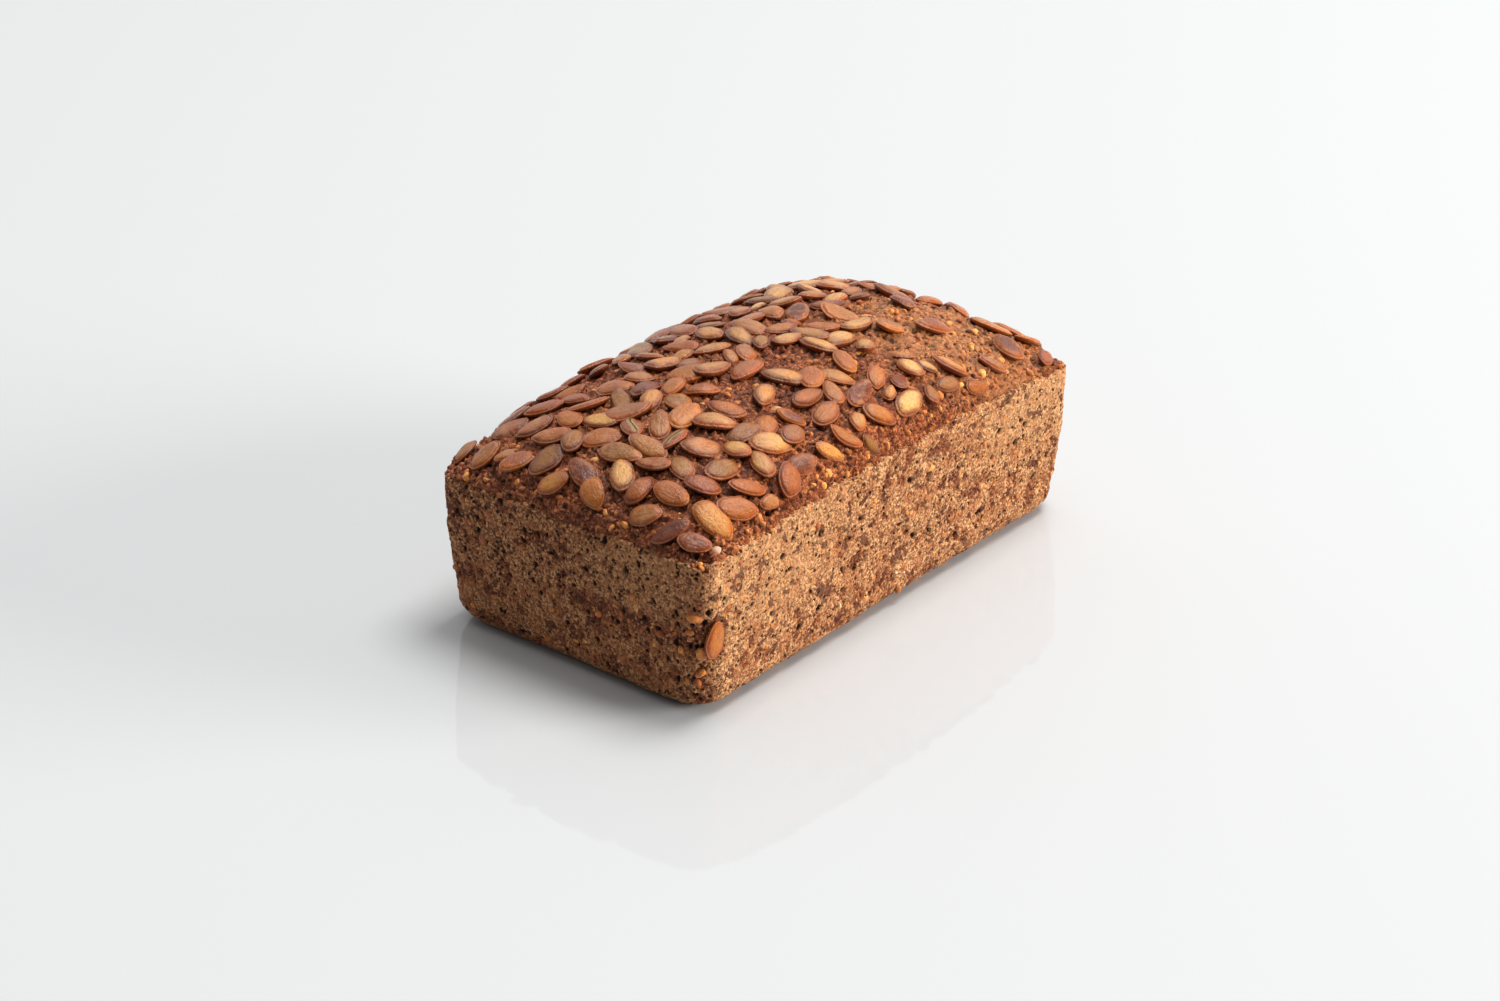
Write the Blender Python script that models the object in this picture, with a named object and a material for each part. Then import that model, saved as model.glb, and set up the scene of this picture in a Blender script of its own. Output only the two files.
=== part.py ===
"""Seeded rye tin loaf: one solid, standing on its flat base, with the pumpkin kernels of its top fused to it.

Metres, +Z up. The origin is the middle of the base, X runs along the loaf and Y across it.
The block has the tin's shape, with drafted walls and rounded edges. Above the mark that the tin's rim left,
the dough rose to a dome. The kernels lie pressed into it, and lean on each other where they are crowded.
"""

import math
import random
from typing import NamedTuple

import bmesh
import bpy
from mathutils import Matrix, Vector, noise

# The block
LENGTH = 0.188
WIDTH = 0.105
RIM_Z = 0.0495  # height of the tin's mark at the corners
RIM_LIFT = 0.0040  # how much higher the mark runs in the middle of each long side
DOME_RISE = 0.0238
DRAFT = 0.022  # how far a wall leans outwards for each metre of height
FOOT_RADIUS = 0.0075
CORNER_RADIUS_RIM = 0.0060
CORNER_RADIUS_FOOT = 0.0120
CORNER_BLEND_Z = 0.030  # above this height the upright edges keep the rim's radius

# The dome is a product of two rounded profiles, one along the loaf and one across it
DOME_ALONG = 2.84
DOME_ACROSS = 2.08
DOME_POWER = 0.55
LUMP_HEIGHT = 0.0011
LUMP_SIZE = 0.016

# The grid of the block
CELLS_ALONG = 24
CELLS_ACROSS = 16
FOOT_RINGS = 3
WALL_RINGS = 2
RIM_CROWDING = 0.55  # from 0, even cells, to 1, cells crowded towards the edges

# The shape of a pumpkin kernel
KERNEL_LENGTH = 0.0128
KERNEL_WIDTH = 0.0081
KERNEL_THICKNESS = 0.0029
KERNEL_BLUNT = 0.50  # how full its outline is at the blunt end; less is fuller
KERNEL_TIP = 0.60  # the same at the tip
KERNEL_SIDES = 7
KERNEL_SHOULDER = 0.66  # where its upper ring lies, as a share of the way from the middle to the edge
KERNEL_ROOT = 0.90  # depth of the point that anchors it in the dough, as a share of its thickness

# How the kernels are strewn
KERNEL_DRAW = 3
KERNEL_TRIES = 6000
SIZE_SPREAD = 0.12  # standard deviation of a kernel's size, as a share
SMALLEST, LARGEST = 0.70, 1.22
SLIMMEST, STOUTEST = 0.90, 1.12
CLOSE_GAP = 0.0080  # least distance between the middles of two kernels
BARE_GAP = 0.0145  # the same where the dough shows between them
EDGE_LIMIT = 0.955  # how near a kernel's middle may come to the edge of the top, as a share
CORNER_LIMIT = 0.92  # how near it may come to two edges at once
WALL_CLEARANCE = 0.0004  # how far every kernel stays inside the tin's walls

# How a kernel settles on those that lie under it
TURNS_TRIED = 9
MOST_COVERED = 0.50  # of its footprint that may lie on others
PRESSED_IN = 0.0001  # height of a kernel's middle above the dough
RESTING = 0.62  # share of the height of the kernels below that lifts it
MOST_LEAN = 0.60  # slope
LOOSE_LEAN = 0.10  # standard deviation of the slope of a kernel that lies alone
CELL = 0.001  # of the grid that holds the height of the pile
SLOPE_STEP = 0.0015  # distance over which the dome's slope is taken

# Places where the dough shows between the kernels: x, y and radius
BARE_PATCHES = (
    (0.060, -0.024, 0.030),
    (-0.024, -0.016, 0.011),
    (0.000, -0.010, 0.011),
    (0.022, -0.024, 0.009),
    (-0.040, 0.034, 0.009),
)

CRUST_COLOUR = (0.29, 0.13, 0.062, 1.0)
CRUST_ROUGHNESS = 0.85
SMOOTH_BELOW = math.radians(38)


class Kernel(NamedTuple):
    """A kernel's place on the plan, its turn about the upright, its size, and how it lies on the dome."""

    x: float
    y: float
    turn: float
    length: float
    width: float
    thickness: float
    height: float = 0.0
    slope_x: float = 0.0
    slope_y: float = 0.0


def clear_scene():
    for thing in list(bpy.data.objects):
        bpy.data.objects.remove(thing)


def crust_material():
    material = bpy.data.materials.new("crust")
    material.use_nodes = True
    shader = material.node_tree.nodes["Principled BSDF"]
    shader.inputs["Base Color"].default_value = CRUST_COLOUR
    shader.inputs["Roughness"].default_value = CRUST_ROUGHNESS
    shader.inputs["Metallic"].default_value = 0.0
    return material


def half_sizes(z):
    """Half the block's length and width at height z, before any rounding."""
    lean = (min(z, RIM_Z) - RIM_Z) * DRAFT
    return LENGTH / 2 + lean, WIDTH / 2 + lean


def corner_radius(z):
    share = min(z / CORNER_BLEND_Z, 1.0)
    return CORNER_RADIUS_FOOT + (CORNER_RADIUS_RIM - CORNER_RADIUS_FOOT) * share


def on_plan(u, v, half_x, half_y, radius):
    """The point of a rounded rectangle that the point (u, v) of the square from -1 to 1 goes to."""
    reach = max(abs(u), abs(v))
    if reach == 0.0:
        return 0.0, 0.0
    x, y = half_x * abs(u) / reach, half_y * abs(v) / reach
    from_x, from_y = x - (half_x - radius), y - (half_y - radius)
    if from_x > 0.0 and from_y > 0.0:
        scale = radius / math.hypot(from_x, from_y)
        x = half_x - radius + from_x * scale
        y = half_y - radius + from_y * scale
    return math.copysign(x * reach, u), math.copysign(y * reach, v)


def off_plan(x, y, half_x, half_y, radius):
    """The (u, v) that on_plan takes to (x, y)."""
    px, py = abs(x), abs(y)
    centre_x, centre_y = half_x - radius, half_y - radius
    reach = max(px / half_x, py / half_y)
    if reach == 0.0:
        return 0.0, 0.0
    along, size = px * centre_x + py * centre_y, px * px + py * py
    root = along * along - size * (centre_x**2 + centre_y**2 - radius**2)
    if px / reach > centre_x and py / reach > centre_y and root > 0.0:
        out = (along + math.sqrt(root)) / size
        from_x, from_y = px * out - centre_x, py * out - centre_y
        if from_x > 0.0 and from_y > 0.0:
            scale = radius / max(from_x, from_y)
            px, py = (centre_x + from_x * scale) / out, (centre_y + from_y * scale) / out
    return math.copysign(px / half_x, x), math.copysign(py / half_y, y)


def rim_height(u, v):
    """Height of the tin's mark, carried inwards over the top, so that the dome stands on it."""
    return RIM_Z + RIM_LIFT * max(1.0 - u * u, 0.0) * min(abs(v), 1.0) ** 4


def lumps(x, y):
    """Low, broad unevenness of the risen dough."""
    place = Vector((x, y, 0.0)) / LUMP_SIZE
    return LUMP_HEIGHT * (noise.noise(place) + 0.5 * noise.noise(place * 2.1))


def top_height(u, v, x, y):
    """Height of the dome above the base."""
    along = max(1.0 - abs(u) ** DOME_ALONG, 0.0) ** DOME_POWER
    across = max(1.0 - abs(v) ** DOME_ACROSS, 0.0) ** DOME_POWER
    return rim_height(u, v) + (DOME_RISE + lumps(x, y)) * along * across


def dome(x, y):
    """Height of the dome at a point of the plan."""
    half_x, half_y = half_sizes(RIM_Z)
    u, v = off_plan(x, y, half_x, half_y, CORNER_RADIUS_RIM)
    return top_height(u, v, x, y)


def stations(count):
    """Grid lines from -1 to 1, crowded towards both ends."""
    even = [2.0 * i / count - 1.0 for i in range(count + 1)]
    return [(1.0 - RIM_CROWDING) * t + RIM_CROWDING * math.sin(t * math.pi / 2) for t in even]


def ring_levels():
    """Share of the height up to the rim, and inset, of each ring of the walls, from the base upwards."""
    levels = []
    for i in range(FOOT_RINGS + 1):
        turn = math.pi / 2 * i / FOOT_RINGS
        levels.append((FOOT_RADIUS * (1.0 - math.cos(turn)) / RIM_Z, FOOT_RADIUS * (1.0 - math.sin(turn))))
    foot = levels[-1][0]
    for i in range(1, WALL_RINGS):
        levels.append((foot + (1.0 - foot) * i / WALL_RINGS, 0.0))
    return levels


def block():
    """The loaf without its kernels, as one closed mesh."""
    made = bmesh.new()
    us, vs = stations(CELLS_ALONG), stations(CELLS_ACROSS)
    half_x, half_y = half_sizes(RIM_Z)
    top = {}
    for i, u in enumerate(us):
        for j, v in enumerate(vs):
            x, y = on_plan(u, v, half_x, half_y, CORNER_RADIUS_RIM)
            top[i, j] = made.verts.new((x, y, top_height(u, v, x, y)))
    for i in range(CELLS_ALONG):
        for j in range(CELLS_ACROSS):
            made.faces.new((top[i, j], top[i + 1, j], top[i + 1, j + 1], top[i, j + 1]))
    around = [(i, 0) for i in range(CELLS_ALONG)]
    around += [(CELLS_ALONG, j) for j in range(CELLS_ACROSS)]
    around += [(i, CELLS_ACROSS) for i in range(CELLS_ALONG, 0, -1)]
    around += [(0, j) for j in range(CELLS_ACROSS, 0, -1)]
    above = [top[spot] for spot in around]
    for share, inset in reversed(ring_levels()):
        ring = []
        for i, j in around:
            z = share * rim_height(us[i], vs[j])
            half_x, half_y = half_sizes(z)
            x, y = on_plan(us[i], vs[j], half_x - inset, half_y - inset, corner_radius(z) - inset / 2)
            ring.append(made.verts.new((x, y, z)))
        for k in range(len(ring)):
            after = (k + 1) % len(ring)
            made.faces.new((ring[k], ring[after], above[after], above[k]))
        above = ring
    made.faces.new(list(reversed(above)))
    return made


def kernel_half_width(s):
    """Half width of a kernel, as a share of the greatest, at s from the blunt end, -1, to the tip, 1."""
    widest = (KERNEL_TIP - KERNEL_BLUNT) / (KERNEL_TIP + KERNEL_BLUNT)
    most = (1.0 - widest) ** KERNEL_BLUNT * (1.0 + widest) ** KERNEL_TIP
    return (1.0 + s) ** KERNEL_BLUNT * (1.0 - s) ** KERNEL_TIP / most


def kernel_mesh(kernel):
    """A plain kernel: a flat lens with a blunt end and a tip. Below, where it is hidden, it is a cone."""
    made = bmesh.new()
    edge, shoulder = [], []
    rise = (1.0 - KERNEL_SHOULDER**2.6) ** 0.6 * kernel.thickness / 2
    for k in range(KERNEL_SIDES):
        turn = 2.0 * math.pi * k / KERNEL_SIDES
        x = math.cos(turn) * kernel.length / 2
        y = math.copysign(kernel_half_width(math.cos(turn)), math.sin(turn)) * kernel.width / 2
        edge.append(made.verts.new((x, y, 0.0)))
        shoulder.append(made.verts.new((x * KERNEL_SHOULDER, y * KERNEL_SHOULDER, rise)))
    summit = made.verts.new((0.0, 0.0, kernel.thickness / 2))
    root = made.verts.new((0.0, 0.0, -kernel.thickness * KERNEL_ROOT))
    for k in range(KERNEL_SIDES):
        after = (k + 1) % KERNEL_SIDES
        made.faces.new((edge[k], edge[after], shoulder[after], shoulder[k]))
        made.faces.new((shoulder[k], shoulder[after], summit))
        made.faces.new((edge[after], edge[k], root))
    return made


def footprint(x, y, turn, length, width):
    """Points of the plan that a kernel covers: its middle, and two rings."""
    points = [(x, y)]
    for share, count in ((0.5, 6), (0.95, 12)):
        for k in range(count):
            angle = 2.0 * math.pi * k / count
            along = share * length / 2 * math.cos(angle)
            aside = share * width / 2 * math.copysign(kernel_half_width(math.cos(angle)), math.sin(angle))
            points.append((x + along * math.cos(turn) - aside * math.sin(turn),
                           y + along * math.sin(turn) + aside * math.cos(turn)))
    return points


class Pile:
    """The height of the kernels that lie on the dough, over a grid of cells."""

    def __init__(self):
        self.heights = {}

    def at(self, x, y):
        return self.heights.get((round(x / CELL), round(y / CELL)), 0.0)

    def add(self, kernel):
        reach = math.ceil(kernel.length / 2 / CELL)
        middle_i, middle_j = round(kernel.x / CELL), round(kernel.y / CELL)
        for i in range(middle_i - reach, middle_i + reach + 1):
            for j in range(middle_j - reach, middle_j + reach + 1):
                dx, dy = i * CELL - kernel.x, j * CELL - kernel.y
                s = (dx * math.cos(kernel.turn) + dy * math.sin(kernel.turn)) / (kernel.length / 2)
                t = (dy * math.cos(kernel.turn) - dx * math.sin(kernel.turn)) / (kernel.width / 2)
                if abs(s) >= 1.0 or abs(t) >= kernel_half_width(s):
                    continue
                bulge = math.sqrt(max(1.0 - s * s - t * t, 0.0)) * kernel.thickness / 2
                here = kernel.height + kernel.slope_x * dx + kernel.slope_y * dy + bulge
                self.heights[i, j] = max(self.at(i * CELL, j * CELL), here)


def leaning_plane(points, heights):
    """Mean height and slopes of the plane that fits the heights over the points best."""
    count = len(points)
    mean_x = sum(x for x, y in points) / count
    mean_y = sum(y for x, y in points) / count
    mean_h = sum(heights) / count
    xx = sum((x - mean_x) ** 2 for x, y in points)
    yy = sum((y - mean_y) ** 2 for x, y in points)
    xy = sum((x - mean_x) * (y - mean_y) for x, y in points)
    xh = sum((x - mean_x) * (h - mean_h) for (x, y), h in zip(points, heights))
    yh = sum((y - mean_y) * (h - mean_h) for (x, y), h in zip(points, heights))
    whole = xx * yy - xy * xy
    return mean_h, (xh * yy - yh * xy) / whole, (yh * xx - xh * xy) / whole


def settle(pile, kernel, lean_x, lean_y):
    """The kernel as it comes to lie on the pile, turned to cover others least, or None where it can't."""
    best = None
    for k in range(TURNS_TRIED):
        turn = kernel.turn + math.pi * k / TURNS_TRIED
        points = footprint(kernel.x, kernel.y, turn, kernel.length, kernel.width)
        heights = [pile.at(*point) for point in points]
        covered = sum(height > 0.0 for height in heights) / len(heights)
        if best is None or covered < best[0]:
            best = (covered, turn, points, heights)
    covered, turn, points, heights = best
    if covered > MOST_COVERED:
        return None
    mean, slope_x, slope_y = leaning_plane(points, heights)
    alone = LOOSE_LEAN * (1.0 - min(covered * 3.0, 1.0))
    slope_x, slope_y = slope_x + lean_x * alone, slope_y + lean_y * alone
    ease = MOST_LEAN / max(math.hypot(slope_x, slope_y), MOST_LEAN)
    height = PRESSED_IN + mean * RESTING
    return kernel._replace(turn=turn, height=height, slope_x=slope_x * ease, slope_y=slope_y * ease)


def kernel_matrix(kernel):
    """Stands a kernel on the dome, turned about its normal and leaning by its two slopes."""
    x, y = kernel.x, kernel.y
    rise_x = dome(x + SLOPE_STEP, y) - dome(x - SLOPE_STEP, y)
    rise_y = dome(x, y + SLOPE_STEP) - dome(x, y - SLOPE_STEP)
    along = Vector((2 * SLOPE_STEP, 0.0, rise_x + kernel.slope_x * 2 * SLOPE_STEP))
    across = Vector((0.0, 2 * SLOPE_STEP, rise_y + kernel.slope_y * 2 * SLOPE_STEP))
    up = along.cross(across).normalized()
    heading = Vector((math.cos(kernel.turn), math.sin(kernel.turn), 0.0))
    forward = (heading - up * heading.dot(up)).normalized()
    side = up.cross(forward)
    middle = Vector((x, y, dome(x, y))) + up * kernel.height
    return Matrix.Translation(middle) @ Matrix((forward, side, up)).transposed().to_4x4()


def inside_walls(kernel):
    """Whether a kernel's whole outline stays inside the tin's walls."""
    half_x, half_y = half_sizes(RIM_Z)
    matrix = kernel_matrix(kernel)
    for x, y in footprint(0.0, 0.0, 0.0, kernel.length, kernel.width):
        place = matrix @ Vector((x, y, 0.0))
        if abs(place.x) > half_x - WALL_CLEARANCE or abs(place.y) > half_y - WALL_CLEARANCE:
            return False
    return True


def least_gap(x, y):
    """Least distance between the middles of two kernels here."""
    for patch_x, patch_y, radius in BARE_PATCHES:
        if math.hypot(x - patch_x, y - patch_y) < radius:
            return BARE_GAP
    return CLOSE_GAP


def strew_kernels():
    """The kernels of the top, in the order in which they fell."""
    draw = random.Random(KERNEL_DRAW)
    half_x, half_y = half_sizes(RIM_Z)
    pile, kernels = Pile(), []
    for _ in range(KERNEL_TRIES):
        x, y = draw.uniform(-half_x, half_x), draw.uniform(-half_y, half_y)
        size = min(max(draw.gauss(1.0, SIZE_SPREAD), SMALLEST), LARGEST)
        width = KERNEL_WIDTH * size * draw.uniform(SLIMMEST, STOUTEST)
        turn, lean_x, lean_y = draw.uniform(0.0, 2.0 * math.pi), draw.gauss(0.0, 1.0), draw.gauss(0.0, 1.0)
        u, v = off_plan(x, y, half_x, half_y, CORNER_RADIUS_RIM)
        if max(abs(u), abs(v)) > EDGE_LIMIT or min(abs(u), abs(v)) > CORNER_LIMIT:
            continue
        gap = least_gap(x, y)
        if any(math.hypot(x - other.x, y - other.y) < gap for other in kernels):
            continue
        falling = Kernel(x, y, turn, KERNEL_LENGTH * size, width, KERNEL_THICKNESS * math.sqrt(size))
        kernel = settle(pile, falling, lean_x, lean_y)
        if kernel is None or not inside_walls(kernel):
            continue
        pile.add(kernel)
        kernels.append(kernel)
    return kernels


def new_object(name, made, material, collection):
    mesh = bpy.data.meshes.new(name)
    made.to_mesh(mesh)
    made.free()
    mesh.materials.append(material)
    thing = bpy.data.objects.new(name, mesh)
    collection.objects.link(thing)
    return thing


def fuse(loaf, collection):
    """Fuses the objects of a collection to the loaf in one union, applies it and removes them."""
    union = loaf.modifiers.new("kernels", "BOOLEAN")
    union.operation = "UNION"
    union.operand_type = "COLLECTION"
    union.collection = collection
    union.solver = "EXACT"
    bpy.context.view_layer.update()
    whole = bpy.data.meshes.new_from_object(loaf.evaluated_get(bpy.context.evaluated_depsgraph_get()))
    loaf.modifiers.clear()
    plain, loaf.data = loaf.data, whole
    bpy.data.meshes.remove(plain)
    for thing in list(collection.objects):
        bpy.data.objects.remove(thing)
    bpy.data.collections.remove(collection)


def keep_largest_shell(mesh):
    """Fills the hollows that the union sealed, and drops its loose scraps: only the largest shell stays."""
    made = bmesh.new()
    made.from_mesh(mesh)
    left, shells = set(made.faces), []
    while left:
        waiting, shell = [left.pop()], []
        while waiting:
            face = waiting.pop()
            shell.append(face)
            beside = {other for edge in face.edges for other in edge.link_faces} & left
            left -= beside
            waiting.extend(beside)
        shells.append(shell)
    shells.sort(key=len, reverse=True)
    spare = [face for shell in shells[1:] for face in shell]
    bmesh.ops.delete(made, geom=spare, context="FACES")
    made.to_mesh(mesh)
    made.free()


def build():
    clear_scene()
    scene = bpy.context.scene.collection
    material = crust_material()
    loaf = new_object("loaf", block(), material, scene)
    strewn = bpy.data.collections.new("kernels")
    scene.children.link(strewn)
    for number, kernel in enumerate(strew_kernels()):
        piece = new_object(f"kernel_{number:03d}", kernel_mesh(kernel), material, strewn)
        piece.matrix_world = kernel_matrix(kernel)
    fuse(loaf, strewn)
    keep_largest_shell(loaf.data)
    loaf.data.shade_smooth()
    loaf.data.set_sharp_from_angle(angle=SMOOTH_BELOW)


build()
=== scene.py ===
import math
import random
from typing import NamedTuple

import bpy
import numpy as np
from mathutils import Matrix, Vector, kdtree, noise


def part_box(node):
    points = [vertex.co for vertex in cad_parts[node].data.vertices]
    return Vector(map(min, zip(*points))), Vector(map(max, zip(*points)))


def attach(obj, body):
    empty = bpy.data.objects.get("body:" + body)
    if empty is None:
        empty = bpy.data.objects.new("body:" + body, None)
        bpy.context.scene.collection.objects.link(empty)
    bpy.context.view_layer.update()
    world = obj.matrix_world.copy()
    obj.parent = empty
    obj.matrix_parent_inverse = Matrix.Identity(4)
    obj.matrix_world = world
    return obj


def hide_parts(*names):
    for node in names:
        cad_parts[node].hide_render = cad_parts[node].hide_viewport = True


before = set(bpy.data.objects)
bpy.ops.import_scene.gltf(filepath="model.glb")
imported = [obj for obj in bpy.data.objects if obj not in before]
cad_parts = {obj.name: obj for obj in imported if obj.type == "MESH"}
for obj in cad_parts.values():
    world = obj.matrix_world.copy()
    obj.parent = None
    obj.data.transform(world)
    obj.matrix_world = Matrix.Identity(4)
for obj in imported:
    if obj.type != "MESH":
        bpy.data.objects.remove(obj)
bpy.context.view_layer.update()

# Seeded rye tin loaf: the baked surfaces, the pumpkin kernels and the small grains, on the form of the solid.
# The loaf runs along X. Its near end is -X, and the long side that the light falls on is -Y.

# The block, as the solid has it
loaf_low, loaf_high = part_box("loaf")
LENGTH = round(loaf_high[0] - loaf_low[0], 4)
WIDTH = round(loaf_high[1] - loaf_low[1], 4)
RIM_Z = 0.0495
RIM_LIFT = 0.0040
DOME_RISE = 0.0238
DRAFT = 0.022
FOOT_RADIUS = 0.0075
CORNER_RADIUS_RIM = 0.0060
CORNER_RADIUS_FOOT = 0.0120
CORNER_BLEND_Z = 0.030
DOME_ALONG = 2.84
DOME_ACROSS = 2.08
DOME_POWER = 0.55
LUMP_HEIGHT = 0.0011
LUMP_SIZE = 0.016

# The pumpkin kernels, strewn as on the solid
KERNEL_LENGTH = 0.0128
KERNEL_WIDTH = 0.0081
KERNEL_THICKNESS = 0.0029
KERNEL_BLUNT = 0.50
KERNEL_TIP = 0.60
KERNEL_DRAW = 3
KERNEL_TRIES = 6000
SIZE_SPREAD = 0.12
SMALLEST, LARGEST = 0.70, 1.22
SLIMMEST, STOUTEST = 0.90, 1.12
CLOSE_GAP = 0.0080
BARE_GAP = 0.0145
EDGE_LIMIT = 0.955
CORNER_LIMIT = 0.92
WALL_CLEARANCE = 0.0004
TURNS_TRIED = 9
MOST_COVERED = 0.50
PRESSED_IN = 0.0001
RESTING = 0.62
MOST_LEAN = 0.60
LOOSE_LEAN = 0.10
CELL = 0.001
SLOPE_STEP = 0.0015
BARE_PATCHES = (
    (0.060, -0.024, 0.030),
    (-0.024, -0.016, 0.011),
    (0.000, -0.010, 0.011),
    (0.022, -0.024, 0.009),
    (-0.040, 0.034, 0.009),
)

# The fine grids
WALL_STEP = 0.00045
CAP_STEP = 0.00060
BASE_STEP = 0.0013
FOOT_ROWS = 20
OVERLAP = 0.0050  # how far walls and cap run under each other at the tin's mark
SINK = 0.0014  # how deep they dive there
DIVE_STARTS, DIVE_ENDS = 0.0003, 0.0008  # how far before and past the skin's ragged edge
BACK_INSET = 0.007  # of the walls' hidden back
BACK_DROP = 0.010  # of its top under the tin's mark
FLOAT_GAP = 0.0003  # of its foot over the table
BASE_THICKNESS = 0.004
BASE_POROUS = 0.97  # share of the base's half sizes that isn't kept flat

# What is strewn and set in for the looks
DOUGH_SUNK = 0.0004
BEDDING = 0.0006  # how much higher the dough stands under a kernel
SUNK_COUNT = 22
SUNK_HEIGHT = -0.0003
SUNK_SMALLEST, SUNK_LARGEST = 0.55, 0.85
SUNK_LEAN = 0.16
GRIT_COUNT = 3400
GRIT_SMALLEST, GRIT_LARGEST = 0.00035, 0.00080
GRAIN_LENGTH, GRAIN_SPREAD = 0.0023, 0.0005
SHORTEST_GRAIN, LONGEST_GRAIN = 0.0013, 0.0034
SET_IN_WALL = 0.00045
TOP_GRAIN_COUNT = 380
WALL_GRAIN_COUNT = 210  # in each half of the walls
CALM_PATCHES = (  # x, z, half length and half height
    (-0.066, 0.040, 0.034, 0.016),
    (0.080, 0.042, 0.030, 0.014),
)
LONG_SIDE_GRAINS = (  # x, z, length, tone, paleness
    (0.0008, 0.0113, 0.0017, 1.0, 1.0), (0.0045, 0.0098, 0.0018, 1.0, 1.0),
    (0.0049, 0.0305, 0.0026, 0.8, 0.0), (-0.0283, 0.0118, 0.0027, 1.0, 0.5),
    (0.0021, 0.0050, 0.0030, 0.7, 0.0), (-0.0151, 0.0088, 0.0030, 0.8, 0.1),
    (-0.0422, 0.0186, 0.0024, 0.9, 0.2),
)
TOP_GRAINS = (  # x, y, length, tone, paleness
    (0.066, -0.023, 0.0040, 0.8, 0.0), (0.071, -0.036, 0.0038, 0.8, 0.0), (0.059, -0.037, 0.0030, 0.9, 0.0),
    (0.053, -0.038, 0.0028, 0.7, 0.0), (0.057, -0.043, 0.0034, 1.0, 0.0), (0.064, -0.045, 0.0036, 0.9, 0.0),
    (0.051, -0.047, 0.0040, 1.0, 0.0), (0.061, -0.049, 0.0040, 0.8, 0.0), (0.030, -0.033, 0.0034, 1.0, 0.2),
    (0.013, -0.025, 0.0030, 0.7, 0.0), (0.005, -0.016, 0.0036, 0.7, 0.0), (0.009, -0.019, 0.0030, 0.8, 0.0),
    (0.054, -0.009, 0.0040, 0.8, 0.0), (0.043, -0.007, 0.0044, 0.9, 0.0), (-0.027, -0.026, 0.0044, 0.8, 0.1),
    (-0.022, -0.014, 0.0036, 0.8, 0.0), (-0.085, -0.0498, 0.0032, 0.4, 0.5),
    (-0.071, -0.024, 0.0032, 0.6, 0.0), (-0.074, -0.030, 0.0034, 0.6, 0.0),
)
END_GRAINS = (  # y, z, length, tone, paleness
    (-0.0479, 0.0333, 0.0050, 0.7, 0.0), (-0.0463, 0.0281, 0.0034, 0.5, 0.0),
    (-0.0429, 0.0212, 0.0027, 0.8, 0.0), (-0.0492, 0.0210, 0.0044, 0.8, 0.0),
    (-0.0485, 0.0143, 0.0036, 0.7, 0.0), (-0.0476, 0.0112, 0.0034, 0.3, 0.0),
    (-0.0350, 0.0238, 0.0026, 0.3, 0.0), (-0.0250, 0.0328, 0.0026, 0.6, 0.0),
    (-0.0112, 0.0226, 0.0028, 0.7, 0.0), (-0.0207, 0.0110, 0.0030, 0.4, 0.0),
    (0.0345, 0.0333, 0.0034, 0.3, 0.0), (0.0312, 0.0424, 0.0030, 0.3, 0.0),
)

# The start of each random draw
WALL_DRAW, CAP_DRAW, BASE_DRAW = 5, 8, 13
PUFF_DRAW, SUNK_DRAW, GRAIN_DRAW, GRIT_DRAW = 17, 31, 23, 29

# The photograph's camera
FOCAL_LENGTH = 81.6
SENSOR_WIDTH = 36.0
CAMERA_DISTANCE = 1.124164
CAMERA_PITCH = math.radians(26.23)
CAMERA_YAW = math.radians(-51.284)
CAMERA_TARGET = Vector((0.029693, 0.029876, 0.0))


class Kernel(NamedTuple):
    """A kernel's place on the plan, its turn about the upright, its size, and how it lies on the dome."""

    x: float
    y: float
    turn: float
    length: float
    width: float
    thickness: float
    height: float = 0.0
    slope_x: float = 0.0
    slope_y: float = 0.0


# Baked flat into the long side near the near end
SIDE_KERNEL = Kernel(-0.0886, 0.0, math.radians(80), 0.0118, 0.0090, 0.0030, 0.0257)


# The form of the loaf, over arrays of points

def field(points, size, shift=0.0):
    """Smooth noise, from about -1 to 1, with lumps of this size, at each of the points."""
    return np.array([noise.noise(place) for place in (points / size + shift).tolist()])


def waves(points, kinds):
    """Sum of smooth noises, each with its height, the size of its lumps and its shift."""
    return sum(height * field(points, size, shift) for height, size, shift in kinds)


def smoothstep(low, high, values):
    share = np.clip((values - low) / (high - low), 0.0, 1.0)
    return share * share * (3.0 - 2.0 * share)


def half_sizes(z):
    lean = (np.minimum(z, RIM_Z) - RIM_Z) * DRAFT
    return LENGTH / 2 + lean, WIDTH / 2 + lean


def corner_radius(z):
    return CORNER_RADIUS_FOOT + (CORNER_RADIUS_RIM - CORNER_RADIUS_FOOT) * np.minimum(z / CORNER_BLEND_Z, 1.0)


def on_plan(u, v, half_x, half_y, radius):
    """The points of a rounded rectangle that the points (u, v) of the square from -1 to 1 go to."""
    reach = np.maximum(np.maximum(np.abs(u), np.abs(v)), 1e-9)
    x, y = half_x * np.abs(u) / reach, half_y * np.abs(v) / reach
    from_x, from_y = x - (half_x - radius), y - (half_y - radius)
    in_corner = (from_x > 0.0) & (from_y > 0.0)
    scale = radius / np.maximum(np.hypot(from_x, from_y), 1e-9)
    x = np.where(in_corner, half_x - radius + from_x * scale, x)
    y = np.where(in_corner, half_y - radius + from_y * scale, y)
    return np.copysign(x * reach, u), np.copysign(y * reach, v)


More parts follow.
